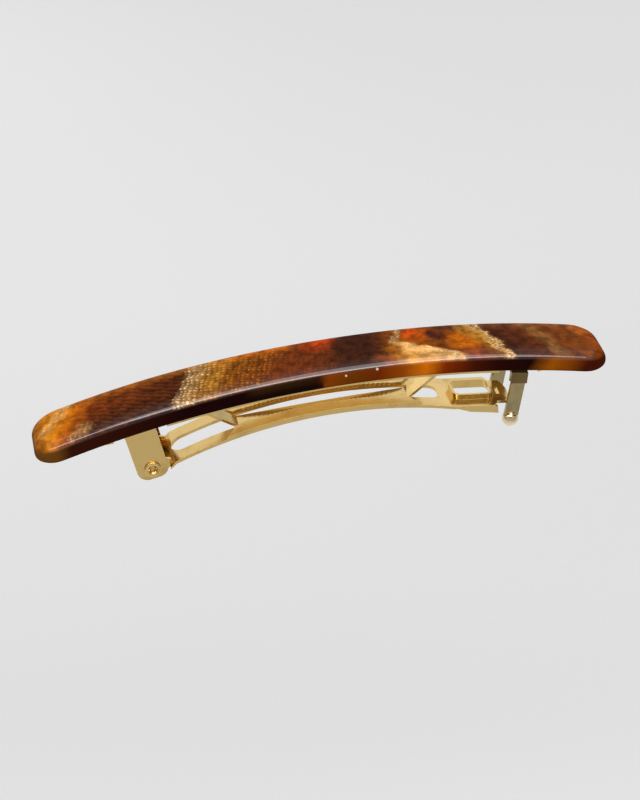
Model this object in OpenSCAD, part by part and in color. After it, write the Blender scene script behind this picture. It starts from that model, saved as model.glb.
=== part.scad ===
// French-clip hair barrette: an arched acetate bar with a gilt spring clip
// glued under it. The bar's length runs along X, its width along Y, and the
// latch balls stand on Z = 0. The clasp is shown closed.

/* [Bar] */
// Length of the bar, measured along its arched top
bar_len = 100; // [90:1:130]
// Width of the bar
bar_w = 12.5; // [11.5:0.5:18]
// Thickness of the bar
bar_t = 3.4; // [2.4:0.2:5]
// Radius of the arched top face
bar_r = 193; // [150:1:300]
// Radius of the bar's corners, seen from above
bar_corner_r = 4.2; // [2:0.2:5.5]
// Radius of the rounded top edges
bar_top_edge_r = 1.2; // [0.4:0.1:1.6]
// Radius of the rounded bottom edges
bar_bottom_edge_r = 0.6; // [0.2:0.1:0.8]

/* [Base plate] */
// Length of the base plate, along the arch
plate_len = 80; // [76:1:88]
// Width of the base plate
plate_w = 10; // [9:0.5:11]
// Thickness of the base plate and of its bent parts
plate_t = 0.7; // [0.5:0.05:0.9]
// Thickness of the adhesive film over the base plate
film_t = 0.1; // [0.05:0.05:0.3]
// Diameter of the hole near each end of the base plate
end_hole_d = 1.6; // [1:0.1:2.4]

/* [Hinge] */
// Place of the hinge ears along the arch, from the middle
ear_s = -32.4; // [-34:0.1:-31]
// Width of each hinge ear
ear_w = 5.4; // [4.6:0.1:6.4]
// Depth of the hinge pin below the underside of the bar
hinge_depth = 7.9; // [7:0.1:9]
// Height of the ear below the middle of its pin
ear_end = 1.9; // [1.7:0.1:2.6]
// Outer diameter of the tubular hinge pin
pin_d = 2; // [1.6:0.1:2.4]
// Bore of the tubular hinge pin
pin_bore_d = 1.2; // [0.6:0.1:1.2]
// Diameter of the flared pin ends
pin_head_d = 2.9; // [2.6:0.1:3.4]
// Thickness of the flared pin ends
pin_head_t = 0.35; // [0.2:0.05:0.5]

/* [Clasp arm] */
// Width of the clasp arm
arm_w = 10; // [9.4:0.1:10.4]
// Sheet thickness of the clasp arm
arm_t = 0.5; // [0.35:0.05:0.6]
// Radius of the arched underside of the clasp arm
arm_r = 79; // [76:1:84]
// Depth of the arm's underside below the bar, at the middle
arm_depth = 5.8; // [5.6:0.1:6.4]
// Width of the slot between the two rails
slot_w = 4.3; // [4:0.1:4.8]
// Length of the folded hem on each rail
hem_len = 33.6; // [28:0.2:36]
// Pitch of the teeth on the inner edge of each hem
tooth_pitch = 0.8; // [0.6:0.1:1.4]
// Depth of the teeth
tooth_depth = 0.25; // [0.1:0.05:0.4]
// Length of the window near the latch
window_len = 6.3; // [4:0.1:6.6]
// Width of the window near the latch
window_w = 4.6; // [3.6:0.1:5]

/* [Tension spring] */
// Width of the tension spring
spring_w = 3.4; // [2.6:0.1:3.4]
// Thickness of the tension spring
spring_t = 0.45; // [0.3:0.05:0.5]
// Depth of the spring's top below the underside of the bar, at the middle
spring_depth = 6.7; // [6.2:0.1:6.8]
// Length of the spring's low middle part
spring_flat_len = 29.4; // [26:0.2:30]

/* [Latch] */
// Place of the latch prongs along the arch, from the middle
latch_s = 34.5; // [34.2:0.1:36]
// Width of each prong
prong_w = 2.4; // [1.8:0.1:2.5]
// Thickness of each prong
prong_t = 0.7; // [0.5:0.05:0.8]
// Diameter of the ball at the end of each prong
ball_d = 2.8; // [2.7:0.1:3]
// Depth of the ball's centre below the underside of the bar
ball_depth = 9.5; // [9.3:0.1:11]
// Lean of the prongs towards the hinge, in degrees
prong_lean = 4; // [0:0.5:5]

/* [Hidden] */
$fn = 64;

gold = "#d8b468";
pewter_gold = "#a8925c";

// Clearances
run_fit = 0.05;      // around a turning pin or bead
side_gap = 0.35;     // between the arm and the ears
lay_gap = 0.03;      // between pieces that lie on each other

// Half of the straight distance between the bar's ends
bar_span = bar_r * sin(arc_angle(bar_len / 2));

// Depths below the top of the arch, measured square to it
film_top = bar_t;
plate_top = film_top + film_t;
plate_bottom = plate_top + plate_t;

// Bend reliefs in the base plate
relief_len = 1.9;
relief_w = plate_t + 0.7;

// Latch
latch_tab_len = 2.9;
latch_tab_h = 1.7;
latch_tab_t = 2 * (prong_t / 2 + run_fit) + 0.3;
prong_y = arm_w / 2 + 0.3;
ball_flat_h = sqrt(pow(ball_d, 2) - pow(prong_w, 2) - pow(prong_t, 2)) / 2 - 0.03;
bead_depth = plate_bottom + latch_tab_h;
ball_from_top = bar_t + ball_depth;
prong_down = [sin(arc_angle(latch_s) + prong_lean), cos(arc_angle(latch_s) + prong_lean)];
ball_centre = arc_point(latch_s, bead_depth)
    - (ball_from_top - bead_depth) * prong_down;

// The top of the arch stands this high when the latch balls rest on Z = 0
apex_z = ball_d / 2 - ball_centre[1];

// Hinge
hinge_from_top = bar_t + hinge_depth;
hinge = arc_point(ear_s, hinge_from_top);
ear_in_y = plate_w / 2 - plate_t;
head_y = plate_w / 2 + lay_gap;

// Clasp arm, seen from the front
arm_low = -(bar_t + arm_depth);
arc_end = 22;
latch_slope = 0.14;
nose_w = 2 * (prong_y - ball_d / 2 - 0.3);
nose_len = 0.8;
nose_start = ball_centre[0] - ball_d / 2 - 0.3;
plate_end = 31.6;
shoulder_x = hinge[0] + ear_w / 2 + side_gap;
neck_x = -26.4;
tray_gap = 0.3;
cheek_r = 1.6;
tray_top = hinge[1] - pin_d / 2 - tray_gap;
tray_start = hinge[0] + 1.9;
tray_end = hinge[0] - cheek_r;
cheek_out_y = ear_in_y - side_gap;
slot_start = -26.5;
slot_end = 20.1;
window_start = 22.9;
collar_t = 0.4;
collar_h = 1;
wing_start = 22.6;
wing_end = nose_start - 0.2;
wing_h = 1.1;
rail_in_y = slot_w / 2;
hem_x = -0.4;

// Tension spring
spring_rise = 0.62;
spring_crown_r = 500;
foot_len = 3;
spring_top = -(bar_t + spring_depth);
spring_knee_z = spring_top - spring_flat_len * spring_flat_len / 8 / spring_crown_r;
foot_x = knee_to_plate(spring_flat_len / 2);
strap_len = 1.4;
strap_t = 0.5;
strap_x = foot_x + foot_len / 2 + 0.5;

// Angle, in degrees, at a distance along the top of the arch
function arc_angle(s) = s / bar_r * 180 / PI;

// X and Z of a point at a distance along the arch and a depth below its top
function arc_point(s, depth) =
    [(bar_r - depth) * sin(arc_angle(s)), (bar_r - depth) * cos(arc_angle(s)) - bar_r];

// Z of the arch at a given X and depth
function arch_z(x, depth) = sqrt(pow(bar_r - depth, 2) - x * x) - bar_r;

// Z of the arm's arched underside at a given X
function arm_z(x) = arm_low - arm_r + sqrt(arm_r * arm_r - x * x);

// Z of the straight underside of the arm's latch end
function latch_z(x) = arm_z(arc_end) - latch_slope * (x - arc_end);

// X at which the rising end of the spring reaches the base plate
function knee_to_plate(x) =
    x + (arch_z(x + 8, plate_bottom) - spring_knee_z - spring_t) / spring_rise;

// Stands the part on its latch balls
module on_balls() {
    translate([0, 0, apex_z]) children();
}

// Turns a shape drawn from the front, in X and Z, into a slab from y0 to y1
module slab(y0, y1) {
    translate([0, y1, 0]) rotate([90, 0, 0]) linear_extrude(y1 - y0) children();
}

// The same slab on both sides of the middle
module both_slabs(y0, y1) {
    slab(y0, y1) children();
    slab(-y1, -y0) children();
}

// Keeps only what lies inside a plan outline
module cut_to_plan() {
    intersection() {
        children(0);
        translate([0, 0, -60]) linear_extrude(80) children(1);
    }
}

// Band between two depths of the bar's arch, seen from the front
module arch_band(top_depth, bottom_depth, half_len) {
    intersection() {
        translate([0, -bar_r]) difference() {
            circle(bar_r - top_depth, $fn = 256);
            circle(bar_r - bottom_depth, $fn = 256);
        }
        translate([-half_len, -40]) square([2 * half_len, 50]);
    }
}

// Rectangle with rounded corners, centred
module round_rect(size, r) {
    square([size[0] - 2 * r, size[1]], center = true);
    square([size[0], size[1] - 2 * r], center = true);
    for (x = [-1, 1], y = [-1, 1])
        translate([x * (size[0] / 2 - r), y * (size[1] / 2 - r)]) circle(r);
}

// Carries children to a place on the arch, their Z square to it
module on_arch(s, depth) {
    p = arc_point(s, depth);
    translate([p[0], 0, p[1]]) rotate([0, arc_angle(s), 0]) children();
}

// Cross-section of the bar: X is the radius of the arch, Y the width
module bar_section() {
    inner = bar_r - bar_t;
    half = bar_w / 2;
    translate([inner, -half + bar_top_edge_r])
        square([bar_t, bar_w - 2 * bar_top_edge_r]);
    translate([inner + bar_bottom_edge_r, -half])
        square([bar_t - bar_bottom_edge_r - bar_top_edge_r, bar_w]);
    for (side = [-1, 1]) {
        translate([bar_r - bar_top_edge_r, side * (half - bar_top_edge_r)])
            circle(bar_top_edge_r);
        translate([inner + bar_bottom_edge_r, side * (half - bar_bottom_edge_r)])
            circle(bar_bottom_edge_r);
        translate([inner + bar_bottom_edge_r, side * (half - bar_top_edge_r) - bar_top_edge_r / 2])
            square([bar_t / 2, bar_top_edge_r]);
    }
}

// Outline of the bar's ends from above: each corner is a run of flats that
// touch its circle, open along the sides so that the section sets the width
module bar_plan() {
    turn = 15;
    open = 1;
    centre = [bar_span - bar_corner_r, bar_w / 2 - bar_corner_r];
    side_t = (bar_corner_r * (1 - cos(turn)) + open) / sin(turn);
    corner = concat(
        [for (a = [turn / 2:turn:90 - turn])
            centre + bar_corner_r / cos(turn / 2) * [cos(a), sin(a)]],
        [centre + bar_corner_r * [sin(turn), cos(turn)] + side_t * [-cos(turn), sin(turn)]]);
    back = [for (i = [len(corner) - 1:-1:0]) corner[i]];
    polygon(concat(corner, [for (p = back) [-p[0], p[1]]], [for (p = corner) -p],
                   [for (p = back) [p[0], -p[1]]]));
}

// Arched acetate bar
module bar() {
    reach = arc_angle(bar_len / 2) + 1;
    color("#7a3c14") on_balls() cut_to_plan() {
        translate([0, 0, -bar_r]) rotate([90, 0, 0]) rotate(90 - reach)
            rotate_extrude(angle = 2 * reach, $fn = 256) bar_section();
        bar_plan();
    }
}

// Film of adhesive that holds the clip to the bar
module adhesive_film() {
    color("#d9cfae") on_balls() cut_to_plan() {
        slab(-plate_w, plate_w)
            arch_band(film_top + lay_gap / 3, plate_top - lay_gap / 3, plate_len);
        base_plan();
    }
}

// Outline of the base plate with its bend reliefs and end holes
module base_plan() {
    end_x = plate_len / 2;
    difference() {
        round_rect([2 * end_x, plate_w], plate_w / 2 - 0.5);
        for (side = [-1, 1]) {
            for (x = [hinge_x(-1), hinge_x(1), latch_x(-1), latch_x(1)])
                translate([x, side * plate_w / 2])
                    square([relief_len, 2 * relief_w], center = true);
            translate([side * (end_x - 2.6), 0]) circle(d = end_hole_d);
        }
    }
}

// Middle of the relief on one side of a hinge ear, or of a latch tab
function hinge_x(side) =
    arc_point(ear_s, plate_bottom)[0] + side * (ear_w + relief_len) / 2;
function latch_x(side) =
    arc_point(latch_s, plate_bottom)[0] + side * (latch_tab_len + relief_len) / 2;

// One hinge ear, with its bore for the pin
module ear_profile() {
    drop = hinge_from_top - plate_bottom;
    difference() {
        union() {
            translate([-ear_w / 2, -drop]) square([ear_w, drop + plate_t / 2]);
            translate([ear_end - ear_w / 2, -drop - ear_end])
                square([ear_w - 2 * ear_end, 2 * ear_end]);
            for (side = [-1, 1])
                translate([side * (ear_w / 2 - ear_end), -drop]) circle(ear_end);
        }
        translate([0, -drop]) circle(d = pin_d + run_fit);
    }
}

// Lanced strap that holds one foot of the tension spring
module strap(x) {
    half_w = spring_w / 2 + run_fit;
    pocket = spring_t + 2 * lay_gap;
    translate([x, 0, arch_z(x, plate_bottom)]) rotate([0, asin(x / bar_r), 0])
        difference() {
            translate([-strap_len / 2, -half_w - strap_t, -pocket - strap_t])
                cube([strap_len, 2 * (half_w + strap_t), pocket + strap_t + plate_t / 2]);
            translate([-strap_len, -half_w, -pocket])
                cube([2 * strap_len, 2 * half_w, pocket]);
        }
}

// Bent-down tab on one side, with the groove that a prong's bead turns in
module latch_tab(side) {
    inner_y = plate_w / 2 - 0.8;
    translate([0, side * prong_y, 0]) difference() {
        translate([-latch_tab_len / 2, -latch_tab_t / 2, -latch_tab_h])
            cube([latch_tab_len, latch_tab_t, latch_tab_h + plate_t / 2]);
        translate([0, 0, -latch_tab_h]) rotate([0, 90 + prong_lean, 0])
            cylinder(h = 2 * latch_tab_len, r = prong_t / 2 + run_fit, center = true);
    }
    translate([-latch_tab_len / 2, side > 0 ? inner_y : -prong_y, 0])
        cube([latch_tab_len, prong_y - inner_y, plate_t * 0.8]);
}

// Steel strip under the bar, with its hinge ears, latch tabs and spring straps
module base_plate() {
    color(gold) on_balls() {
        cut_to_plan() {
            slab(-plate_w, plate_w) arch_band(plate_top, plate_bottom, plate_len);
            base_plan();
        }
        on_arch(ear_s, plate_bottom)
            both_slabs(ear_in_y, plate_w / 2) ear_profile();
        on_arch(latch_s, plate_bottom) for (side = [-1, 1]) latch_tab(side);
        for (side = [-1, 1]) strap(side * strap_x);
    }
}

// Tubular pin with flared ends
module hinge_pin() {
    color(gold) on_balls() on_arch(ear_s, hinge_from_top) rotate([90, 0, 0]) difference() {
        union() {
            cylinder(h = 2 * (head_y + pin_head_t), d = pin_d, center = true);
            for (side = [-1, 1]) translate([0, 0, side * (head_y + pin_head_t / 2)])
                cylinder(h = pin_head_t, d = pin_head_d, center = true);
        }
        cylinder(h = 4 * head_y, d = pin_bore_d, center = true);
    }
}

// Side view of the tension spring: low middle, rising ends and flat feet
module spring_profile() {
    knee = spring_flat_len / 2;
    bend_shift = spring_t * tan(atan(spring_rise) / 2);
    crown = [for (i = [-8:8]) let (x = knee * i / 8)
        [x, spring_top - x * x / 2 / spring_crown_r]];
    foot = [for (i = [0:3]) let (x = foot_x + foot_len * i / 3)
        [x, arch_z(x, plate_bottom) - lay_gap]];
    top = concat([for (i = [3:-1:0]) [-foot[i][0], foot[i][1]]], crown, foot);
    under = [for (p = top) let (bend = abs(p[0]) >= knee && abs(p[0]) <= foot_x)
        [p[0] + (bend ? sign(p[0]) * bend_shift : 0), p[1] - spring_t]];
    polygon(concat(top, [for (i = [len(under) - 1:-1:0]) under[i]]));
}

// Narrow leaf that presses the hair against the base plate
module tension_spring() {
    color(gold) on_balls() slab(-spring_w / 2, spring_w / 2) spring_profile();
}

// Side view of the arm's sheet, from the tray at the hinge to the finger lip
module arm_profile() {
    tip = plate_end + 3;
    difference() {
        union() {
            intersection() {
                translate([0, arm_low - arm_r]) difference() {
                    circle(arm_r + arm_t, $fn = 256);
                    circle(arm_r, $fn = 256);
                }
                translate([neck_x, -40]) square([arc_end + 0.5 - neck_x, 60]);
            }
            polygon([[arc_end - 0.3, latch_z(arc_end - 0.3) + arm_t],
                     [arc_end - 0.3, latch_z(arc_end) + 0.6 * arm_t],
                     [arc_end + 0.3, latch_z(arc_end) - 0.4 * arm_t],
                     [tip, latch_z(tip) - 0.4 * arm_t], [tip, latch_z(tip) + arm_t]]);
        }
        polygon([[arc_end - 3, latch_z(arc_end - 3)], [tip + 1, latch_z(tip + 1)],
                 [tip + 1, -20], [arc_end - 3, -20]]);
    }
    polygon([[neck_x + 0.1, arm_z(neck_x) + arm_t], [neck_x + 0.1, arm_z(neck_x)],
             [tray_start - 0.2, tray_top - arm_t], [tray_end, tray_top - arm_t],
             [tray_end, tray_top], [tray_start, tray_top]]);
}

// Plan of the arm: wide rails, narrow tray between the ears, bowed nose
module arm_plan() {
    half = arm_w / 2;
    nose = nose_w / 2;
    bow = [for (i = [0:4]) [plate_end + nose_len * (1 - pow(1 - i / 4, 2)), nose * (1 - i / 4)]];
    upper = concat([[tray_end, cheek_out_y], [shoulder_x, cheek_out_y], [shoulder_x, half],
                    [nose_start - 0.7, half], [nose_start, nose]], bow);
    polygon(concat(upper, [for (i = [len(upper) - 2:-1:0]) [upper[i][0], -upper[i][1]]]));
}

// Slot between the rails: round at the hinge end, softly square at the latch end
module slot_plan() {
    end_r = 1.4;
    translate([slot_start + rail_in_y, 0]) circle(rail_in_y);
    translate([slot_start + rail_in_y, -rail_in_y])
        square([slot_end - end_r - slot_start - rail_in_y, slot_w]);
    translate([slot_start + rail_in_y, -rail_in_y + end_r])
        square([slot_end - slot_start - rail_in_y, slot_w - 2 * end_r]);
    for (side = [-1, 1])
        translate([slot_end - end_r, side * (rail_in_y - end_r)]) circle(end_r);
}

// Folded hem on one rail: slanted ends, teeth along the inner edge
module hem_plan() {
    inner_half = hem_len / 2 - 2;
    teeth = floor((2 * inner_half - 3) / tooth_pitch);
    teeth_start = -teeth * tooth_pitch / 2;
    translate([hem_x, 0]) polygon(concat(
        [[-hem_len / 2, arm_w / 2], [-inner_half, rail_in_y + tooth_depth]],
        [for (i = [0:teeth - 1], k = [0, 1])
            [teeth_start + (i + k / 2) * tooth_pitch, rail_in_y + tooth_depth * (1 - k)]],
        [[inner_half, rail_in_y + tooth_depth], [hem_len / 2, arm_w / 2]]));
}

// Side view of the raised collar around the window
module collar_profile() {
    x0 = window_start - collar_t;
    x1 = window_start + window_len + collar_t;
    rise = arm_t + collar_h;
    polygon([[x0, latch_z(x0) + arm_t / 4], [x1, latch_z(x1) + arm_t / 4], [x1, latch_z(x1) + rise],
             [x0, latch_z(x0) + rise]]);
}

// Side view of one lower wing, deeper towards the latch
module wing_profile() {
    knee = wing_start + 2.2;
    polygon([[wing_start, latch_z(wing_start) + 0.05], [knee, latch_z(knee) - 0.6 * wing_h],
             [wing_end, latch_z(wing_end) - wing_h], [wing_end, latch_z(wing_end) + arm_t / 2],
             [wing_start, latch_z(wing_start) + arm_t / 2]]);
}

// Side view of one upturned cheek: round about the pin, tapering to the rail
module cheek_profile() {
    low = tray_top - arm_t;
    translate(hinge) circle(cheek_r);
    translate([tray_end, low]) square([2 * cheek_r, hinge[1] - low]);
    intersection() {
        polygon([[hinge[0], hinge[1] + cheek_r], [neck_x, arm_z(neck_x) + arm_t],
                 [neck_x, arm_z(neck_x)], [tray_start, low], [hinge[0], low]]);
        translate([hinge[0], -60]) square([shoulder_x - hinge[0] + 0.3, 80]);
    }
}

// Swinging arm of the clip, bent from one strip
module clasp_arm() {
    window_mid = [window_start + window_len / 2, 0];
    color(gold) on_balls() difference() {
        union() {
            cut_to_plan() {
                slab(-arm_w, arm_w) arm_profile();
                arm_plan();
            }
            for (side = [-1, 1]) cut_to_plan() {
                slab(-arm_w, arm_w) translate([0, arm_low - arm_r]) difference() {
                    circle(arm_r + 2 * arm_t - 0.05, $fn = 256);
                    circle(arm_r + arm_t / 2, $fn = 256);
                }
                mirror([0, side < 0 ? 1 : 0]) hem_plan();
            }
            cut_to_plan() {
                slab(-arm_w, arm_w) collar_profile();
                translate(window_mid)
                    round_rect([window_len, window_w] + 2 * collar_t * [1, 1], 1.2);
            }
            both_slabs(arm_w / 2 - arm_t, arm_w / 2) wing_profile();
            both_slabs(cheek_out_y - arm_t, cheek_out_y) cheek_profile();
        }
        translate([0, 0, -60]) linear_extrude(80) slot_plan();
        translate([window_mid[0], 0, -60]) linear_extrude(80)
            round_rect([window_len, window_w], 0.9);
        translate([hinge[0], 0, hinge[1]]) rotate([90, 0, 0])
            cylinder(h = 2 * arm_w, d = pin_d + 2 * run_fit, center = true);
        translate([30.4, 0, latch_z(30.4) + arm_t + 0.45]) rotate([90, 0, 0])
            cylinder(h = 2.4, r = 0.7, center = true);
    }
}

// Ball with a flat top that just covers the end of the prong's strip
module prong_ball() {
    rotate_extrude() intersection() {
        circle(d = ball_d);
        translate([0, -ball_d]) square([ball_d, ball_d + ball_flat_h]);
    }
}

// One latch prong with its pivot bead; side is -1 at the front, 1 at the rear
module latch_prong(side) {
    strip = ball_from_top - bead_depth - ball_flat_h;
    color(pewter_gold) on_balls() on_arch(latch_s, bead_depth)
    translate([0, side * prong_y, 0]) rotate([0, prong_lean, 0]) {
        rotate([0, 90, 0]) cylinder(h = prong_w, d = prong_t, center = true);
        translate([-prong_w / 2, -prong_t / 2, -strip]) cube([prong_w, prong_t, strip]);
        translate([0, 0, -strip - ball_flat_h]) prong_ball();
    }
}

// Prong on the front edge of the base plate
module latch_prong_front() {
    latch_prong(-1);
}

// Prong on the rear edge of the base plate
module latch_prong_rear() {
    latch_prong(1);
}

bar();
adhesive_film();
base_plate();
hinge_pin();
tension_spring();
clasp_arm();
latch_prong_front();
latch_prong_rear();
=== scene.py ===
import math
import bmesh
import bpy
import numpy as np
from mathutils import Matrix, Vector


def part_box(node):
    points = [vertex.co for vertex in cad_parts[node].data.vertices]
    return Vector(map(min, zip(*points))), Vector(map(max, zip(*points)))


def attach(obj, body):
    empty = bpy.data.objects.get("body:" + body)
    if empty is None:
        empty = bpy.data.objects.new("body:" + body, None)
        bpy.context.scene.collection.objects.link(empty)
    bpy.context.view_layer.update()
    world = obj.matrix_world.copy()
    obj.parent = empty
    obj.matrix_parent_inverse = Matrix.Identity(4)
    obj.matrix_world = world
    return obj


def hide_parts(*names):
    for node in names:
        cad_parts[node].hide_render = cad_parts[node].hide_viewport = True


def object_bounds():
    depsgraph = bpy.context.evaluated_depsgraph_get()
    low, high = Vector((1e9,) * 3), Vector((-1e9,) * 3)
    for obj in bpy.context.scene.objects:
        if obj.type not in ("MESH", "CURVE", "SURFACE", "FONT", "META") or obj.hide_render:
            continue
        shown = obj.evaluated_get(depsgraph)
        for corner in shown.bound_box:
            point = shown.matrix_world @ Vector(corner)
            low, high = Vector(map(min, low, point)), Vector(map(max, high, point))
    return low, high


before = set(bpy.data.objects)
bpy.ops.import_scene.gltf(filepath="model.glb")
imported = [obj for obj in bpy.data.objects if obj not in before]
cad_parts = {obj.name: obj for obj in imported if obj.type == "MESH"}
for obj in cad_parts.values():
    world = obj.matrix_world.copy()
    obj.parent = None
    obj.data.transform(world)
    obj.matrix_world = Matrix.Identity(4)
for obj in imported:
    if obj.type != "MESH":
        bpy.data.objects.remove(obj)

mm = 0.001
cadLow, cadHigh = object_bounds()
print("frame loaded:", sorted(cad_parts))


# camera
cameraView = {
    "azimuth": 7.54,       # degrees round from straight in front
    "elevation": 29.29,    # degrees above the horizon
    "roll": -5.83,         # degrees, tilts the horizon
    "distance": 0.400,     # metres from the crown of the arch
    "aimRight": 0.00145,   # turn of the view to the right, radians
    "aimDown": 0.01935,    # turn of the view downwards, radians
    "lens": 106.53,        # millimetres
    "sensor": 36.0,        # millimetres
    "clip": (0.01, 50.0),  # nearest and farthest seen, metres
}


def makeCamera(v):
    a, e, r = (math.radians(v[k]) for k in ("azimuth", "elevation", "roll"))
    ahead = Vector((math.sin(a) * math.cos(e), math.cos(a) * math.cos(e), -math.sin(e)))
    level = Vector((math.cos(a), -math.sin(a), 0))
    raised = level.cross(ahead)
    right = level * math.cos(r) + raised * math.sin(r)
    above = raised * math.cos(r) - level * math.sin(r)
    place = Vector((0, 0, cadHigh.z)) - ahead * v["distance"]
    ahead = (ahead + right * v["aimRight"] - above * v["aimDown"]).normalized()
    right = (right - ahead * right.dot(ahead)).normalized()
    above = right.cross(ahead)
    data = bpy.data.cameras.new("camera")
    data.lens, data.sensor_width = v["lens"], v["sensor"]
    data.clip_start, data.clip_end = v["clip"]
    cam = bpy.data.objects.new("camera", data)
    turn = Matrix((right, above, -ahead)).transposed().to_4x4()
    cam.matrix_world = Matrix.Translation(place) @ turn
    bpy.context.scene.collection.objects.link(cam)
    bpy.context.scene.camera = cam


makeCamera(cameraView)
print("camera placed")


# a number socket that does sums: each operator adds its Math node
class Value:
    def __init__(self, mat, socket):
        self.mat, self.socket = mat, socket

    def maths(self, operation, *others):
        return self.mat.node("ShaderNodeMath", {"operation": operation}, [self, *others])

    def __add__(self, o): return self.maths("ADD", o)
    def __radd__(self, o): return self.maths("ADD", o)
    def __sub__(self, o): return self.maths("SUBTRACT", o)
    def __rsub__(self, o): return self.maths("MULTIPLY_ADD", -1.0, o)
    def __mul__(self, o): return self.maths("MULTIPLY", o)
    def __rmul__(self, o): return self.maths("MULTIPLY", o)
    def __truediv__(self, o): return self.maths("DIVIDE", o)
    def __pow__(self, o): return self.maths("POWER", o)
    def __abs__(self): return self.maths("ABSOLUTE")
    def sin(self): return self.maths("SINE")
    def root(self): return self.maths("SQRT")
    def most(self, o): return self.maths("MAXIMUM", o)

    def step(self, start, end, low=0.0, high=1.0):
        # smooth rise from low at start to high at end
        return self.mat.node("ShaderNodeMapRange",
                             {"interpolation_type": "SMOOTHSTEP", "clamp": True},
                             {"Value": self, "From Min": start, "From Max": end,
                              "To Min": low, "To Max": high})

    def near(self, centre, half, soft):
        # 1 within half of the centre, falling to 0 over soft
        return abs(self - centre).step(half + soft, half)


# one material: every node is made by node(), and values change only sockets that may vary
class Material:
    def __init__(self, name, **shader):
        self.mat = bpy.data.materials.new(name)
        self.mat.use_nodes = True
        self.tree = self.mat.node_tree
        self.shader = self.tree.nodes["Principled BSDF"]
        for key, value in shader.items():
            self.shader.inputs[key.replace("_", " ")].default_value = value

    def node(self, kind, settings=None, inputs=(), out=0):
        # settings first, a ramp's stops among them, then values or links for the sockets
        made = self.tree.nodes.new(kind)
        for key, value in (settings or {}).items():
            if key == "stops":
                ramp = made.color_ramp
                while len(ramp.elements) < len(value):
                    ramp.elements.new(0.5)
                for element, (at, colour) in zip(ramp.elements, value):
                    element.position = at
                    element.color = (*colour, 1)
            else:
                setattr(made, key, value)
        pairs = inputs.items() if isinstance(inputs, dict) else enumerate(inputs)
        for key, value in pairs:
            if isinstance(value, Value):
                self.tree.links.new(value.socket, made.inputs[key])
            else:
                made.inputs[key].default_value = value
        return Value(self, made.outputs[out])

    def set(self, key, value):
        self.tree.links.new(value.socket, self.shader.inputs[key])

    def mix(self, factor, first, second, blend="MIX"):
        colour = lambda c: c if isinstance(c, Value) else (*c, 1)
        return self.node("ShaderNodeMix",
                         {"data_type": "RGBA", "blend_type": blend, "clamp_factor": True},
                         {0: factor, 6: colour(first), 7: colour(second)}, out=2)

    def noise(self, place, scale, detail=2.0, rough=0.5):
        return self.node("ShaderNodeTexNoise", None,
                         {"Vector": place, "Scale": scale, "Detail": detail, "Roughness": rough})

    def cells(self, place, scale):
        return self.node("ShaderNodeTexVoronoi", None, {"Vector": place, "Scale": scale})

    def split(self, place):
        parts = self.node("ShaderNodeSeparateXYZ", None, [place])
        return [Value(self, parts.socket.node.outputs[i]) for i in range(3)]

    def join(self, x, y, z):
        return self.node("ShaderNodeCombineXYZ", None, [x, y, z])

    def bump(self, height, distance, normal=None):
        links = {"Height": height, "Distance": distance}
        if normal is not None:
            links["Normal"] = normal
        return self.node("ShaderNodeBump", None, links)

    def place(self):
        # object coordinates in millimetres
        spot = self.node("ShaderNodeTexCoord", None, (), out=3)
        return self.node("ShaderNodeVectorMath", {"operation": "SCALE"},
                         {0: spot, "Scale": 1 / mm})


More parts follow.
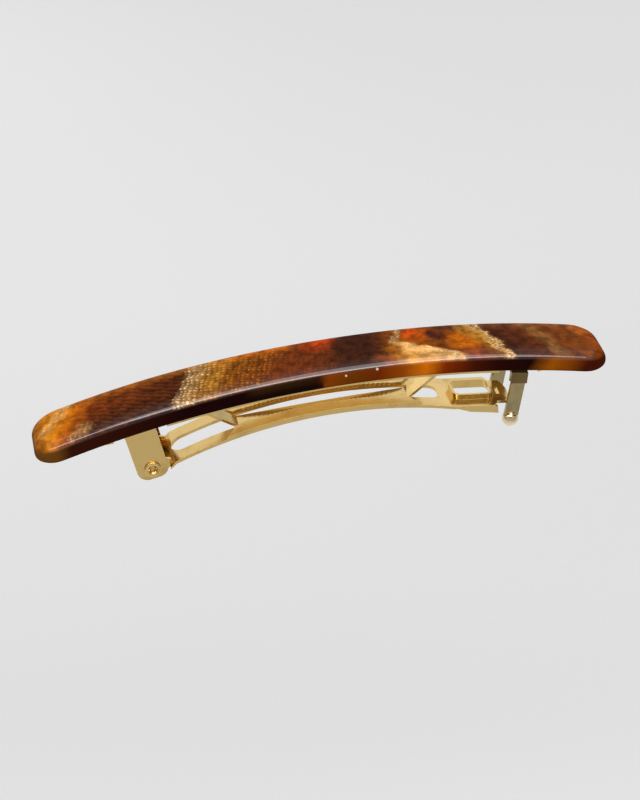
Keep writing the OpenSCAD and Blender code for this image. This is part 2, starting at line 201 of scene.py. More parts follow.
# tortoiseshell acetate; places are mm along and across the bar, colours are linear
acetate = {
    "roughness": 0.13, "coatRoughness": 0.03, "coatIndex": 1.75,
    "weavePitch": 0.86,             # mm between rows of the pressed-in weave
    "weaveRows": ((0.95, 0.24), (-0.38, 1.02)),   # along and across shares of the two rows
    "hatchRow": (-0.44, 0.66),      # the same for the hatch near the hinge
    "wobble": 1.5,                  # mm that the rows wander
    "drift": 2.4,                   # mm that the colour fields wander
    "driftShare": 0.7,              # of it across the bar
    "curl": 2.2,                    # mm of the shorter swirls in their edges
    "ragged": 0.9,                  # mm of the fine tears in their edges
    # noise scales, per mm
    "driftScales": (0.16, 0.17), "curlScale": 0.42, "raggedScale": 1.6, "wobbleScale": 0.55,
    "patchyScale": 0.8, "fineScale": 5.0, "glintScale": 1.9, "mottleScale": 0.55,
    "lean": (-10, 25, 0.45, -0.42),  # the fields' slope turns between these places
    "mottle": (0.52, 1.38),         # darkest and lightest of the mottling
    "warmth": (1.10, 0.88, 0.64),   # last tint over the top's tones
    "topTones": [
        (-50, (0.50, 0.20, 0.025)), (-45.5, (0.72, 0.26, 0.010)), (-41.5, (0.38, 0.10, 0.006)),
        (-39, (0.17, 0.038, 0.008)), (-30, (0.110, 0.028, 0.008)), (-25, (0.050, 0.014, 0.008)),
        (-22, (0.075, 0.026, 0.012)), (-17, (0.21, 0.080, 0.008)), (-11, (0.175, 0.050, 0.008)),
        (-4, (0.150, 0.036, 0.010)), (1.5, (0.125, 0.030, 0.010)), (4, (0.055, 0.018, 0.009)),
        (10, (0.055, 0.018, 0.009)), (13.5, (0.20, 0.060, 0.008)), (18, (0.25, 0.075, 0.007)),
        (21.5, (0.12, 0.034, 0.010)), (25, (0.22, 0.065, 0.006)), (29, (0.24, 0.090, 0.014)),
        (31.5, (0.060, 0.018, 0.012)), (36, (0.105, 0.030, 0.012)), (42, (0.18, 0.056, 0.014)),
        (46, (0.20, 0.062, 0.012)), (50, (0.21, 0.050, 0.010))],
    "sideTones": [
        (-50, (0.16, 0.060, 0.008)), (-46.5, (0.14, 0.050, 0.006)), (-44, (0.036, 0.006, 0.002)),
        (-35, (0.028, 0.004, 0.001)), (-24, (0.012, 0.001, 0.001)), (-14, (0.010, 0.001, 0.001)),
        (-11, (0.034, 0.012, 0.002)), (-3, (0.026, 0.009, 0.002)), (-1, (0.030, 0.008, 0.001)),
        (1, (0.230, 0.046, 0.001)), (5, (0.150, 0.036, 0.001)), (9.5, (0.160, 0.022, 0.001)),
        (14, (0.300, 0.060, 0.001)), (17.5, (0.66, 0.160, 0.002)), (21, (0.220, 0.024, 0.001)),
        (26, (0.055, 0.006, 0.001)), (30, (0.020, 0.002, 0.001)), (36, (0.012, 0.001, 0.001)),
        (40, (0.34, 0.085, 0.001)), (43.5, (0.20, 0.040, 0.001)), (46, (0.060, 0.006, 0.001)),
        (50, (0.060, 0.008, 0.001))],
    "sideSpecks": [(3.8, 1.5, 0.17), (9.2, 1.1, 0.20)],      # along, depth, radius
    "speckTone": (0.80, 0.66, 0.48),
    "sideShade": (0.006, 0.001, 0.001), "sideShadeAt": (-7, 6.5, 0.6),
    # strength and colour of each field
    # the far edge fields: painted glow of light through the far edge, in amber, orange and olive
    "farGlowAmber": (0.80, (0.50, 0.185, 0.018)), "farGlowOrange": (0.75, (0.62, 0.15, 0.010)),
    "farGlowOlive": (0.35, (0.34, 0.13, 0.045)), "nearDark": (0.85, (0.030, 0.009, 0.006)),
    "hatchLight": (0.34, (0.28, 0.090, 0.012)), "hatchDark": (0.32, (0.055, 0.012, 0.005)),
    "endAmber": (0.65, (0.62, 0.27, 0.020)), "endCream": (1.0, (0.80, 0.54, 0.22)),
    "endPatch": (1.0, (0.46, 0.29, 0.13)), "endFlecks": (1.0, (0.78, 0.55, 0.30)),
    "endShade": (0.60, (0.20, 0.075, 0.020)),
    "scaleGrey": (1.0, (0.43, 0.31, 0.17)), "scaleGold": (1.0, (0.52, 0.30, 0.060)),
    "scaleGlint": (0.85, (0.86, 0.72, 0.45)), "scaleAmber": (0.62, (0.58, 0.27, 0.018)),
    "scaleRust": (0.28, (0.40, 0.12, 0.014)),
    "swooshGold": (0.92, (0.78, 0.42, 0.085)), "swooshCream": (0.85, (0.86, 0.64, 0.33)),
    "swooshRim": (0.80, (0.92, 0.78, 0.52)), "swooshLeg": (1.0, (0.74, 0.58, 0.32)),
    "bandOlive": (1.0, (0.50, 0.28, 0.045)), "bandCream": (1.0, (0.80, 0.58, 0.26)),
    "bandRim": (0.80, (0.92, 0.80, 0.56)), "farBand": (1.0, (0.32, 0.19, 0.065)),
    "latchRust": (0.50, (0.34, 0.085, 0.012)),
    # where each field lies: start and end of its rise, or centre, half width and softness
    # the far edge places: where the painted glow of the far edge lies
    "farGlowEdge": (-2.2, -5.6), "farGlowAmberAt": (-2, -6), "farGlowOrangeAt": (-10, 5, 3),
    "farGlowOliveAt": (20, 30), "nearEdge": (-0.5, 4.5), "nearDarkAt": (-30.5, 7.5, 3.0),
    "hatchAt": (-32, 7.5, 3.0),
    "endAmberAt": (-43.5, -46), "endCreamAt": (-47.0, 0.8, 1.2), "endCreamAcross": (3.5, 0.0),
    "endPatchAt": ((-41.3, 4.0), (1.7, 2.2), 0.5), "endFlecksAt": ((-43.3, 5.0), (0.8, 1.0)),
    "endShadeAt": (-47.2, -49.6),
    "scaleGreyAt": (-21.6, 1.1, 1.0), "scaleGoldAt": (-18.4, 1.6, 2.0),
    "scaleGlintAt": (-21.2, 1.8, 0.8), "scaleAmberAt": (-13.0, 4.0, 3.5),
    "scaleRustAt": (-3.0, 5.0, 4.0),
    "swooshRise": 8.2, "swooshEdge": (-0.3, 0.8), "swooshStart": (12.8, 15.2),
    "swooshStop": (25.6, 23.6), "swooshCreamAt": (5.0, 2.4), "swooshRimAt": (0.9, 0.4, 0.8),
    "legAt": (13.0, 0.25, 0.75), "legAcross": (0.4, -1.2),
    "bandOliveAt": (28.3, 1.1, 1.4), "bandOliveAcross": (5.0, 0.5),
    "bandCreamAt": (29.8, 0.5, 1.0), "bandRimAt": (30.2, 0.2, 0.6), "farBandAt": (39.4, 0.5, 1.6),
    "latchRustAt": (45.5, 48.8),
    # slopes of the slanted fields, mm along for each mm across
    "endCreamSlope": 0.73, "endAmberSlope": 0.5, "legSlope": 0.40,
    "bandSlope": -0.43, "farBandSlope": -0.39,
    "swooshSlope": -0.52,           # and of the swoosh, across for each mm along
    "bandCurl": 1.6,                # how much the curls break the pale band
    # least share of a field and what the weave or the glints add to it
    "endWeave": (0.25, 0.9), "greyWeave": (0.42, 0.75), "goldWeave": (0.20, 1.1),
    "hatchPatchy": (0.3, 0.7), "scalesPatchy": (0.35, 0.65),
    "legGlint": (0.30, 0.6), "oliveGlint": (0.40, 0.45), "creamGlint": (0.22, 0.70),
    "farGlint": (0.35, 0.3),
    # clouds: centre, half sizes, turn in radians, softness, strength, tone
    "cloudsUnder": [
        ((0.8, -4.4), (2.6, 2.4), 0.3, 0.8, 0.90, (0.55, 0.075, 0.007)),
        ((6.8, -1.6), (4.2, 3.8), -0.2, 0.35, 0.75, (0.050, 0.016, 0.010)),
        ((11.5, 4.6), (2.6, 1.6), 0.0, 0.35, 0.60, (0.28, 0.085, 0.030)),
        ((15.0, 3.2), (3.0, 3.6), 0.0, 0.6, 0.70, (0.50, 0.20, 0.016))],
    "cloudsOver": [
        ((17.4, -2.6), (2.3, 3.0), 0.15, 0.7, 0.90, (0.46, 0.10, 0.006)),
        ((16.8, -3.8), (1.1, 1.6), 0.15, 0.6, 0.70, (0.62, 0.085, 0.006)),
        ((20.3, 0.2), (1.3, 1.2), 0.0, 0.35, 0.50, (0.40, 0.13, 0.010)),
        ((21.2, -1.5), (1.5, 2.2), 0.0, 0.6, 0.85, (0.080, 0.022, 0.014)),
        ((24.3, -4.9), (2.6, 1.6), 0.0, 0.35, 0.85, (0.085, 0.028, 0.022)),
        ((25.6, 1.0), (2.8, 2.6), 0.5, 0.6, 0.90, (0.58, 0.17, 0.005)),
        ((26.4, 4.6), (2.8, 1.4), 0.0, 0.35, 0.70, (0.26, 0.055, 0.014))],
    "cloudsLatch": [((47.0, -4.2), (1.8, 2.6), 0.0, 0.35, 0.70, (0.50, 0.17, 0.020))],
    "topDepth": (1.15, 0.45),                  # mm down, where the sides give way to the top
    "glossDepth": (0.02, 0.16, 1.25, 0.70),    # the gloss rises and falls at these depths, mm
    "glossEnds": (48.4, 46.2),                 # and ends between these places along
    "glossFarNear": (0.25, 0.95), "glossLeast": 0.03,
    "waviness": 0.00012,                       # metres
}


class BarPattern:
    # places on the bar, the weave's masks, and the colour laid so far
    def __init__(self, m, v):
        self.m, self.v = m, v
        self.place = m.node("ShaderNodeAttribute", {"attribute_name": "barPlace"}, (), out=1)
        self.along, self.across, self.depth = m.split(self.place)
        self.wander()
        self.weave()
        self.leaning = self.s + self.along.step(*v["lean"]) * self.w
        self.colour = self.ramp(v["topTones"], self.leaning)

    def ramp(self, tones, at):
        # tones at places from -50 to 50 mm
        stops = [((s + 50) / 100, tone) for s, tone in tones]
        return self.m.node("ShaderNodeValToRGB", {"stops": stops}, {"Fac": (at + 50) / 100})

    def wander(self):
        # s and w are along and across, moved by slow drift, swirls and fine tears
        m, v, along, across, depth = self.m, self.v, self.along, self.across, self.depth
        driftAlong, driftAcross = v["driftScales"]
        self.drift = m.noise(self.place, driftAlong)
        driftTwo = m.noise(m.join(along + 40, across, depth), driftAcross)
        self.ragged = m.noise(self.place, v["raggedScale"], 3.0, 0.65) - 0.5
        self.curl = m.noise(self.place, v["curlScale"]) - 0.5
        curlTwo = m.noise(m.join(across, along + 70, depth), v["curlScale"]) - 0.5
        tears = self.ragged * v["ragged"]
        self.s = along + (self.drift - 0.5) * v["drift"] + self.curl * v["curl"] + tears
        self.w = (across + (driftTwo - 0.5) * v["drift"] * v["driftShare"]
                  + curlTwo * v["curl"] + tears)

    def weave(self):
        # two crossed waves make the rows of pressed scales, one more makes the hatch
        m, v, along, across = self.m, self.v, self.along, self.across
        pitch = 2 * math.pi / v["weavePitch"]
        wobble = (m.noise(self.place, v["wobbleScale"], 2.0, 0.6) - 0.5) * v["wobble"]

        def row(shares):
            return ((along * shares[0] + across * shares[1] + wobble) * pitch).sin() * 0.5 + 0.5

        one, two = (row(shares) for shares in v["weaveRows"])
        self.patchy = m.noise(self.place, v["patchyScale"]).step(0.30, 0.66)
        self.scales = (one * two).root() * self.partly(self.patchy, "scalesPatchy")
        self.hatch = row(v["hatchRow"])
        self.fine = m.noise(self.place, v["fineScale"])
        slanted = m.join(along + across * 0.5, across * 1.8, self.depth)
        self.glint = m.noise(slanted, v["glintScale"], 2.0, 0.6).step(0.44, 0.64)

    def partly(self, mask, name):
        # the least share everywhere, and more where the mask is
        least, more = self.v[name]
        return least + mask * more

    def cloud(self, centre, size, turn=0.0, soft=0.35):
        # 1 inside a turned ellipse, falling to 0 over its soft rim
        c, k = math.cos(turn), math.sin(turn)
        x, y = self.s - centre[0], self.w - centre[1]
        a, b = (x * c + y * k) / size[0], (y * c - x * k) / size[1]
        return (a * a + b * b).root().step(1 + soft, 1 - soft)

    def lay(self, mask, name):
        strength, tone = self.v[name]
        self.colour = self.m.mix(mask * strength, self.colour, tone)

    def layClouds(self, name):
        for centre, size, turn, soft, strength, tone in self.v[name]:
            mask = self.cloud(centre, size, turn, soft) * strength
            self.colour = self.m.mix(mask, self.colour, tone)


def layEdges(p, v):
    # painted glow of light through the far edge, strongest at the hinge end, and a darker near
    # edge
    far = p.across.step(*v["farGlowEdge"])
    p.lay(far * p.along.step(*v["farGlowAmberAt"]), "farGlowAmber")
    p.lay(far * p.along.near(*v["farGlowOrangeAt"]), "farGlowOrange")
    p.lay(far * p.along.step(*v["farGlowOliveAt"]), "farGlowOlive")
    p.lay(p.across.step(*v["nearEdge"]) * p.leaning.near(*v["nearDarkAt"]), "nearDark")


def layHatch(p, v):
    # fine slanted rows between the hinge end and the scales
    field = p.leaning.near(*v["hatchAt"])
    p.lay(p.hatch * p.partly(p.patchy, "hatchPatchy") * field, "hatchLight")
    p.lay((1 - p.hatch) * field, "hatchDark")


def layHingeEnd(p, v):
    # amber with a cream streak, a small pale patch and a few flecks
    streak = (p.s + p.w * v["endCreamSlope"]).near(*v["endCreamAt"])
    woven = p.partly(p.scales, "endWeave")
    p.lay((p.s + p.w * v["endAmberSlope"]).step(*v["endAmberAt"]), "endAmber")
    p.lay(streak * woven * p.across.step(*v["endCreamAcross"]), "endCream")
    p.lay(p.cloud(*v["endPatchAt"]) * woven, "endPatch")
    p.lay(p.cloud(*v["endFlecksAt"]) * p.fine.step(0.45, 0.6), "endFlecks")
    p.lay(p.along.step(*v["endShadeAt"]), "endShade")


def layScales(p, v):
    # grey-cream and gold patch of scales that thins out towards the middle
    p.lay(p.leaning.near(*v["scaleGreyAt"]) * p.partly(p.scales, "greyWeave"), "scaleGrey")
    p.lay(p.leaning.near(*v["scaleGoldAt"]) * p.partly(p.scales, "goldWeave"), "scaleGold")
    p.lay(p.leaning.near(*v["scaleGlintAt"]) * p.scales.step(0.42, 0.8), "scaleGlint")
    p.lay(p.leaning.near(*v["scaleAmberAt"]) * p.scales.step(0.20, 0.95), "scaleAmber")
    p.lay(p.leaning.near(*v["scaleRustAt"]) * p.scales.step(0.30, 1.0), "scaleRust")


def laySwoosh(p, v):
    # cream fan that spreads from a leg at the far edge down to the near edge
    rise = p.w + p.s * v["swooshSlope"] + v["swooshRise"]
    fibre = p.m.noise(p.m.join(rise * 1.8, p.s * 0.5, p.depth), 1.6, 3.0, 0.6)
    fan = rise.step(*v["swooshEdge"]) * p.s.step(*v["swooshStart"]) * p.s.step(*v["swooshStop"])
    p.lay(fan, "swooshGold")
    p.lay(fan * fibre.step(0.36, 0.60) * rise.step(*v["swooshCreamAt"]), "swooshCream")
    p.lay(fan * rise.near(*v["swooshRimAt"]) * p.glint, "swooshRim")
    leg = (p.s + p.w * v["legSlope"]).near(*v["legAt"]) * p.across.step(*v["legAcross"])
    p.lay(leg * p.partly(p.glint, "legGlint"), "swooshLeg")


def layBands(p, v):
    # pale slanted band, broken by curls, then an olive band nearer the latch end
    band = p.s + p.w * v["bandSlope"]
    broken = band + p.curl * v["bandCurl"]
    olive = band.near(*v["bandOliveAt"]) * p.across.step(*v["bandOliveAcross"])
    p.lay(olive * p.partly(p.glint, "oliveGlint"), "bandOlive")
    p.lay(broken.near(*v["bandCreamAt"]) * p.partly(p.glint, "creamGlint"), "bandCream")
    p.lay(broken.near(*v["bandRimAt"]) * p.glint, "bandRim")
    farBand = (p.s + p.w * v["farBandSlope"]).near(*v["farBandAt"])
    p.lay(farBand * p.partly(p.glint, "farGlint"), "farBand")


def sideColour(p, v):
    # the sides show the same colours seen edge-on, deep and dark, with two pale specks
    edgeOn = p.along + (p.drift - 0.5) * 1.6 + p.ragged * 1.2 + (p.depth - 1.7) * 0.35
    shaded = p.depth.step(1.2, 2.6) * p.along.near(*v["sideShadeAt"]) * 0.9
    side = p.m.mix(shaded, p.ramp(v["sideTones"], edgeOn), v["sideShade"])
    one, two = (((p.along - x) ** 2 + (p.depth - z) ** 2).step(r * r * 1.8, r * r * 0.4)
                for x, z, r in v["sideSpecks"])
    return p.m.mix(one.most(two), side, v["speckTone"])


def makeAcetate(v):
    m = Material("tortoiseshellAcetate", Roughness=v["roughness"], Specular_IOR_Level=0.0,
                 Coat_Roughness=v["coatRoughness"], Coat_IOR=v["coatIndex"])
    p = BarPattern(m, v)
    layEdges(p, v)
    layHatch(p, v)
    layHingeEnd(p, v)
    layScales(p, v)
    p.layClouds("cloudsUnder")
    laySwoosh(p, v)
    p.layClouds("cloudsOver")
    layBands(p, v)
    p.layClouds("cloudsLatch")
    p.lay(p.along.step(*v["latchRustAt"]), "latchRust")
    mottle = m.noise(p.place, v["mottleScale"], 4.0, 0.6).step(0.28, 0.70, *v["mottle"])
    colour = m.mix(1.0, p.colour, m.join(mottle, mottle, mottle), "MULTIPLY")
    colour = m.mix(1.0, colour, v["warmth"], "MULTIPLY")
    m.set("Base Color", m.mix(p.depth.step(*v["topDepth"]), sideColour(p, v), colour))
    rough = v["roughness"]
    m.set("Roughness", m.noise(p.place, 0.35, 3.0).step(0.3, 0.7, rough * 0.8, rough * 1.3))
    # the buffed upper edges carry the deepest gloss
    start, full, end, gone = v["glossDepth"]
    buffed = (p.depth.step(start, full) * p.depth.step(end, gone)
              * abs(p.along).step(*v["glossEnds"]))
    m.set("Coat Weight", buffed * p.across.step(-4, 0, *v["glossFarNear"]) + v["glossLeast"])
    m.set("Normal", m.bump(m.noise(p.place, 0.10, 1.0) + p.fine * 0.004, v["waviness"]))
    return m.mat


# polished gold-toned steel; edge is in mm, facets and grain in metres
gold = {
    "colour": (0.80, 0.56, 0.21), "tarnish": (0.42, 0.25, 0.07),
    "roughness": 0.13, "edge": 0.07, "grain": 0.00002,
}
goldBase = {
    **gold,
    # steel darkened about the latch tabs: mm along, half length and softness, across, up
    "shadow": (0.10, 0.065, 0.025), "shadowStrength": 0.85,
    "shadowAlong": (33.6, 2.6, 0.5), "shadowAcross": (4.3, 4.7), "shadowUp": (11.2, 10.4),
}
pewter = {
    "colour": (0.44, 0.35, 0.17), "tarnish": (0.14, 0.10, 0.045),
    "roughness": 0.15, "edge": 0.08, "grain": 0.00002,
}
ballPolish = {
    "colour": (0.86, 0.70, 0.44), "tarnish": (0.34, 0.23, 0.10),
    "roughness": 0.05, "edge": 0.05, "grain": 0.00002, "facets": 0.00007,
}


def makeMetal(name, v):
    m = Material(name, Metallic=1.0)
    place = m.place()
    x, y, z = m.split(place)
    grain = m.noise(m.join(x * 0.25, y * 3.0, z * 3.0), 1.6, 3.0, 0.65)   # drawn along the strip
    cloud = m.noise(place, 0.30)
    pits = m.cells(place, 1.7).step(0.10, 0.03)
    stain = cloud.step(0.50, 0.78) * 0.45 + pits * 0.25
    tone = m.mix(stain, v["colour"], v["tarnish"])
    if "shadow" in v:
        dark = (x.near(*v["shadowAlong"]) * abs(y).step(*v["shadowAcross"])
                * z.step(*v["shadowUp"]))
        tone = m.mix(dark * v["shadowStrength"], tone, v["shadow"])
    m.set("Base Color", tone)
    rough = v["roughness"]
    m.set("Roughness", grain.step(0.3, 0.7, rough * 0.75, rough * 1.45) + cloud * 0.04)
    soft = m.node("ShaderNodeBevel", {"samples": 4}, {"Radius": v["edge"] * mm})
    height = m.bump(grain * 0.4 + m.noise(place, 0.5, 1.0), v["grain"], soft)
    if "facets" in v:
        height = m.bump(m.cells(place, 1.3), v["facets"], height)
    m.set("Normal", height)
    return m.mat


glue = {
    "colour": (0.55, 0.50, 0.38), "lump": (0.68, 0.63, 0.50),
    "roughness": 0.45, "lumpHeight": 0.00006,          # metres
}


def makeGlue(v):
    m = Material("curedAdhesive", Specular_IOR_Level=0.4)
    lumps = m.noise(m.place(), 1.2, 3.0)
    rough = v["roughness"]
    m.set("Base Color", m.mix(lumps, v["colour"], v["lump"]))
    m.set("Roughness", lumps.step(0.3, 0.7, rough * 0.8, rough * 1.2))
    m.set("Normal", m.bump(lumps, v["lumpHeight"]))
    return m.mat


tortoiseshell, adhesive = makeAcetate(acetate), makeGlue(glue)
goldSteel, baseSteel = makeMetal("giltSteel", gold), makeMetal("giltBase", goldBase)
prongSteel, ballSteel = makeMetal("giltProng", pewter), makeMetal("giltBall", ballPolish)
print("materials made")


def gridFaces(ids, nextIds):
    # four corners of each square between one row of points and the next
    return np.stack([ids[:-1], ids[1:], nextIds[1:], nextIds[:-1]], -1).reshape(-1, 4).tolist()


def addPiece(name, mesh, finish):
    # smooth, finished and linked, with its object left at the origin
    mesh.polygons.foreach_set("use_smooth", np.ones(len(mesh.polygons), bool))
    mesh.materials.append(finish)
    made = bpy.data.objects.new(name, mesh)
    bpy.context.scene.collection.objects.link(made)
    return made


def closedPiece(name, points, finish, spot=None):
    # each ring of points (mm) joins the next, and the last point of a ring its first;
    # points at the same place are merged, which shuts a turned piece's poles; the bar's two
    # halves meet along its centre line without sharing points
    rings, n = points.shape[:2]
    ids = np.arange(rings * n).reshape(rings, n)
    mesh = bpy.data.meshes.new(name)
    faces = gridFaces(ids, np.roll(ids, -1, axis=1))
    mesh.from_pydata((points.reshape(-1, 3) * mm).tolist(), [], faces)
    if spot is not None:
        place = mesh.attributes.new("barPlace", "FLOAT_VECTOR", "POINT")
        place.data.foreach_set("vector", spot.astype(np.float32).ravel())
    bm = bmesh.new()
    bm.from_mesh(mesh)
    bmesh.ops.remove_doubles(bm, verts=bm.verts, dist=1e-7)
    bmesh.ops.recalc_face_normals(bm, faces=bm.faces)
    bm.to_mesh(mesh)
    bm.free()
    return addPiece(name, mesh, finish)


# arched bar, in mm
barShape = {
    "halfSpan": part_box("bar")[1][0] / mm,      # from the middle to an end, straight across
    "halfWidth": 6.25, "thickness": 3.4, "archRadius": 193.0,
    "cornerRadius": 3.7, "topEdge": 1.2, "bottomEdge": 0.6,
    "middleSoftening": 0.7, "softReach": 26.0,   # extra top edge radius at mid length
    "endTopEdge": 1.65, "endBottomEdge": 1.6, "endReach": 5.0,   # softer edges at the ends
    "crown": 0.10,                              # that the top falls towards its long edges
    "wallInset": 0.01,                          # rings nearer than this to the outline are wall
    "stepsRound": 640,
    "ringsTop": 12, "ringsTopEdge": 11, "ringsWall": 7, "ringsBottomEdge": 9, "ringsBottom": 8,
}


def roundedOutline(v, n):
    # rounded rectangle in plan at n even steps of its own length: straights and quarter circles
    r = v["cornerRadius"]
    a, b = v["halfSpan"] - r, v["halfWidth"] - r
    legs = np.array([2 * b, math.pi * r / 2, 2 * a, math.pi * r / 2] * 2)
    ends = np.concatenate([[0], np.cumsum(legs)])
    t = np.arange(n) / n * ends[-1]
    leg = np.clip(np.searchsorted(ends, t, "right") - 1, 0, 7)
    f = (t - ends[leg]) / legs[leg]
    k = leg // 2
    turn = (k + f) * math.pi / 2
    arcX = np.array([a, -a, -a, a])[k] + r * np.cos(turn)
    arcY = np.array([b, b, -b, -b])[k] + r * np.sin(turn)
    lineX = np.array([a + r, a, -a - r, -a])[k] + np.array([0, -2 * a, 0, 2 * a])[k] * f
    lineY = np.array([-b, b + r, b, -b - r])[k] + np.array([2 * b, 0, -2 * b, 0])[k] * f
    arc = leg % 2 == 1
    return np.where(arc, arcX, lineX), np.where(arc, arcY, lineY)


def edgeRadii(v, x):
    # top and bottom edge radius: larger over the last mm of each end, s = t^2 (3 - 2 t),
    # and the top's also at mid length, + softening * exp(-(x / reach)^2)
    near = np.clip((np.abs(x) - v["halfSpan"] + v["endReach"]) / v["endReach"], 0, 1)
    near = near ** 2 * (3 - 2 * near)
    top = v["topEdge"] + (v["endTopEdge"] - v["topEdge"]) * near
    top = top + v["middleSoftening"] * np.exp(-(x / v["softReach"]) ** 2)
    return top, v["bottomEdge"] + (v["endBottomEdge"] - v["bottomEdge"]) * near


def barSurface(v):
    # rings inset from the plan outline towards the centre line, each at a depth below the top,
    # then bent: z = sqrt((arch - depth)^2 - x^2) - arch
    x0, y0 = roundedOutline(v, v["stepsRound"])
    top, low = edgeRadii(v, x0)
    half, thick, arch = v["halfWidth"], v["thickness"], v["archRadius"]
    ease = lambda k: np.linspace(0, 1, k)[:, None]
    q, t = ease(v["ringsTopEdge"]) * math.pi / 2, ease(v["ringsBottomEdge"]) * math.pi / 2
    inTop, inWall = ease(v["ringsTop"])[:-1], ease(v["ringsWall"])[1:-1]
    inLow = ease(v["ringsBottom"])[1:]
    inset = np.vstack([half + (top - half) * inTop, top - top * np.sin(q), 0 * top * inWall,
                       low - low * np.cos(t), low + (half - low) * inLow])
    depth = np.vstack([0 * top * inTop, top - top * np.cos(q), top + (thick - low - top) * inWall,
                       thick - low + low * np.sin(t), thick + 0 * low * inLow])
    share = inset / half
    spine = np.clip(x0, half - v["halfSpan"], v["halfSpan"] - half)
    x, y = x0 + (spine - x0) * share, y0 * (1 - share)
    # the crown lowers the top towards the long edges
    d = depth + v["crown"] * (y / half) ** 2 * (depth < thick / 2)
    z = np.sqrt((arch - d) ** 2 - x ** 2) - arch
    along = arch * np.arcsin(x / (arch - d))
    # place across the bar, carried on down its side walls
    spot = np.stack([along, -y - np.sign(y) * d * (inset < v["wallInset"]), d], -1)
    return np.stack([x, y, z + cadHigh.z / mm], -1), spot


points, spot = barSurface(barShape)
bar = closedPiece("tortoiseshellBar", points, tortoiseshell, spot)
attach(bar, "bar_and_base")
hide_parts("bar")
print("bar made:", len(bar.data.polygons), "faces")


# hollow rivet at the hinge, in mm
rivet = {
    "radius": 1.0, "head": 1.42, "headThick": 0.34,
    "bore": 0.50, "dimple": 0.75,
    "lip": (0.38, 0.30, 0.05),            # start and end of the lip outside the bore, its fall
    "floor": (0.9, 0.06, 0.08),           # share of the bore, falls of the dimple's floor
    "stepsRound": 96, "stepsRim": 7,
}


def makeRivet(v):
    # profile turned about the hinge axis: domed flange, cone down into the dimple, closed floor;
    # the other half is its mirror
    low, high = (np.array(c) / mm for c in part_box("hinge_pin"))
    middle, end = (low + high) / 2, high[1]
    rim = v["headThick"] / 2
    under, flat = end - v["headThick"], v["head"] - rim
    lipOut, lipIn, lipFall = v["lip"]
    floorShare, floorRim, floorFall = v["floor"]
    t = np.linspace(-math.pi / 2, math.pi / 2, v["stepsRim"] + 2)[1:-1]
    dimple = end - v["dimple"]
    r = np.concatenate([[v["radius"], v["radius"], flat], flat + rim * np.cos(t),
                        [flat, v["bore"] + lipOut, v["bore"] + lipIn, v["bore"],
                         v["bore"] * floorShare, 0.0]])
    y = np.concatenate([[0.0, under, under], under + rim + rim * np.sin(t),
                        [end, end, end - lipFall, dimple, dimple - floorRim, dimple - floorFall]])
    r, y = np.concatenate([r[::-1], r[1:]]), np.concatenate([-y[::-1], y[1:]])
    turn = np.arange(v["stepsRound"]) / v["stepsRound"] * 2 * math.pi
    x = middle[0] + r[:, None] * np.cos(turn)
    z = middle[2] + r[:, None] * np.sin(turn)
    return closedPiece("hingeRivet", np.stack([x, y[:, None] + 0 * x, z], -1), goldSteel)


hingeRivet = makeRivet(rivet)
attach(hingeRivet, "bar_and_base")
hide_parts("hinge_pin")
print("rivet made")


# polished balls on the latch prongs
latchBall = {
    "radius": 1.405, "cadRadius": 1.4,             # mm
    "lean": 14.24,                                 # degrees that the prong leans
    "dent": 0.03, "dentAt": 50.0, "dentWidth": 7.0,    # shallow ring, degrees of latitude
    "stepsUp": 49, "stepsRound": 72,
}


def makeBall(side, v):
    # r = radius * (1 - dent * exp(-((latitude - dentAt) / dentWidth)^2)), about the leaning prong
    low, high = (np.array(c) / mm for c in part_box("latch_prong_" + side))
    centre = np.array([low[0] + v["cadRadius"], (low[1] + high[1]) / 2, low[2] + v["cadRadius"]])
    latitude = np.linspace(-90, 90, v["stepsUp"])[:, None]
    r = v["radius"] * (1 - v["dent"] * np.exp(-((latitude - v["dentAt"]) / v["dentWidth"]) ** 2))
    turn = np.arange(v["stepsRound"]) / v["stepsRound"] * 2 * math.pi
    ring, rise = r * np.cos(np.radians(latitude)), r * np.sin(np.radians(latitude)) + 0 * turn
    c, k = math.cos(math.radians(v["lean"])), math.sin(math.radians(v["lean"]))
    out, aside = ring * np.cos(turn), ring * np.sin(turn)
    points = np.stack([out * c + rise * k, aside, rise * c - out * k], -1) + centre
    return closedPiece("latchBall_" + side, points, ballSteel)


for side in ("front", "rear"):
    ball = makeBall(side, latchBall)
    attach(ball, "prong_" + side)
print("latch balls made")


# finishes of the parts that keep their own shape
finishes = {
    "adhesive_film": adhesive, "base_plate": baseSteel,
    "tension_spring": goldSteel, "clasp_arm": goldSteel,
    "latch_prong_front": prongSteel, "latch_prong_rear": prongSteel,
}
for name, finish in finishes.items():
    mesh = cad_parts[name].data
    mesh.materials.clear()
    mesh.materials.append(finish)
print("finishes given")


# floor, sky and lamps; sizes in metres, the paper's shading in mm
studio = {
    "floorDrop": 0.16,                        # from the part down to the floor
    "floorHalf": 4.0, "floorSteps": 81,
    "wallStart": 2.2, "wallRise": 0.35,
    "floorTone": (0.84, 0.84, 0.84), "floorGlow": 0.29,
    # painted shade on the paper: a deeper strip and a darker front; painted light: lighter far
    # back on the left
    "nearShadeTone": (0.38, 0.38, 0.38), "nearShadeStrip": ((-20.0, -280.0), (-1200.0, -600.0)),
    "frontShadeTone": (0.68, 0.68, 0.68), "frontShadeFade": (420.0, 120.0), "frontShadeStrength": 0.5,
    "backLightTone": (0.94, 0.94, 0.94), "backLightFade": (200.0, 700.0), "leftLightFade": (160.0, -160.0),
    "fleckTone": (0.70, 0.70, 0.70), "fleckStrength": 0.03,
    "sky": (0.80, 0.80, 0.80), "skyStrength": 0.36,
    "lamps": {                                # place, aim, size, watts
        "backSoft": ((0.0, 0.75, 0.42), (0, 0, 0), (1.4, 0.5), 1.3),
        "frontSoft": ((0.06, -0.24, 0.50), (0, 0, 0.01), (0.46, 0.42), 1.1),
        "longStrip": ((-0.10, -0.34, 0.47), (0, 0, 0.01), (1.2, 0.13), 1.7),
    },
}


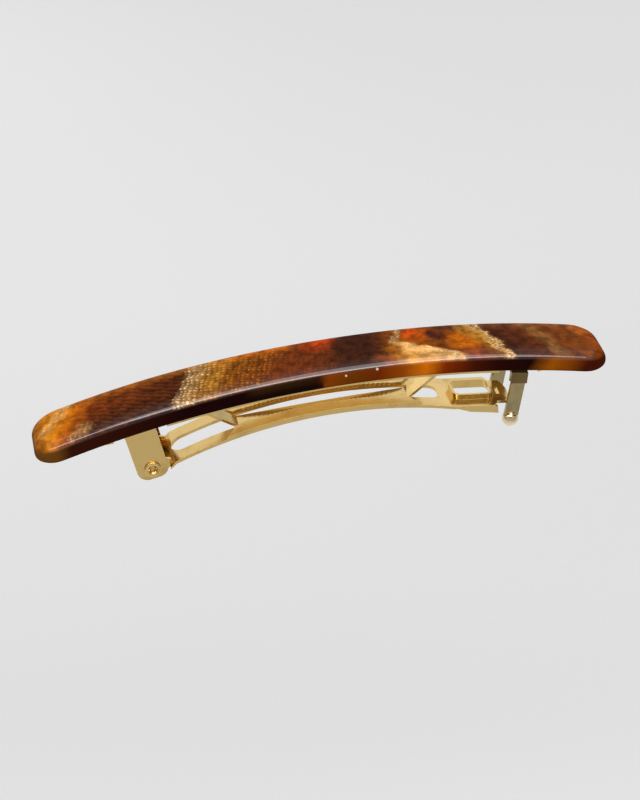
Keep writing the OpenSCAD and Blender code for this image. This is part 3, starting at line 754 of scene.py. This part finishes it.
def makePaper(v):
    # pale paper with painted shade, a deeper strip in front and a darker front, and painted
    # light, a little lighter far back and on the left
    m = Material("floorPaper", Roughness=0.9, Specular_IOR_Level=0.1,
                 Emission_Strength=v["floorGlow"])
    spot = m.place()
    x, y, _ = m.split(spot)
    shadeStart, shadeEnd = v["nearShadeStrip"]
    tone = m.mix(y.step(*shadeStart) * y.step(*shadeEnd), v["floorTone"], v["nearShadeTone"])
    tone = m.mix(y.step(*v["frontShadeFade"]) * v["frontShadeStrength"], tone, v["frontShadeTone"])
    tone = m.mix(y.step(*v["backLightFade"]) * x.step(*v["leftLightFade"]), tone, v["backLightTone"])
    tone = m.mix(m.noise(spot, 0.02) * v["fleckStrength"], tone, v["fleckTone"])
    m.set("Base Color", tone)
    m.set("Emission Color", tone)
    return m.mat


def makeFloor(v):
    # a flat square that turns up into a wall all round, z = rise * max(0, r - start)^2
    n = v["floorSteps"]
    u = np.linspace(-1, 1, n) * v["floorHalf"]
    x, y = np.meshgrid(u, u)
    z = v["wallRise"] * np.clip(np.hypot(x, y) - v["wallStart"], 0, None) ** 2 - v["floorDrop"]
    ids = np.arange(n * n).reshape(n, n)
    mesh = bpy.data.meshes.new("studioFloor")
    mesh.from_pydata(np.stack([x, y, z], -1).reshape(-1, 3).tolist(), [],
                     gridFaces(ids[:, 1:], ids[:, :-1]))
    addPiece("studioFloor", mesh, makePaper(v))


def makeLights(v):
    world = bpy.data.worlds.new("sky")
    world.use_nodes = True
    back = world.node_tree.nodes["Background"]
    back.inputs["Color"].default_value = (*v["sky"], 1)
    back.inputs["Strength"].default_value = v["skyStrength"]
    bpy.context.scene.world = world
    for name, (place, aim, size, watts) in v["lamps"].items():
        data = bpy.data.lights.new(name, "AREA")
        data.shape, data.size, data.size_y, data.energy = "RECTANGLE", *size, watts
        lamp = bpy.data.objects.new(name, data)
        lamp.location = place
        lamp.rotation_mode = "QUATERNION"
        lamp.rotation_quaternion = (Vector(aim) - Vector(place)).to_track_quat("-Z", "Y")
        lamp.visible_camera = False
        bpy.context.scene.collection.objects.link(lamp)


makeFloor(studio)
makeLights(studio)
bpy.context.scene.view_settings.view_transform = "Standard"
print("studio lit")

bpy.context.view_layer.update()
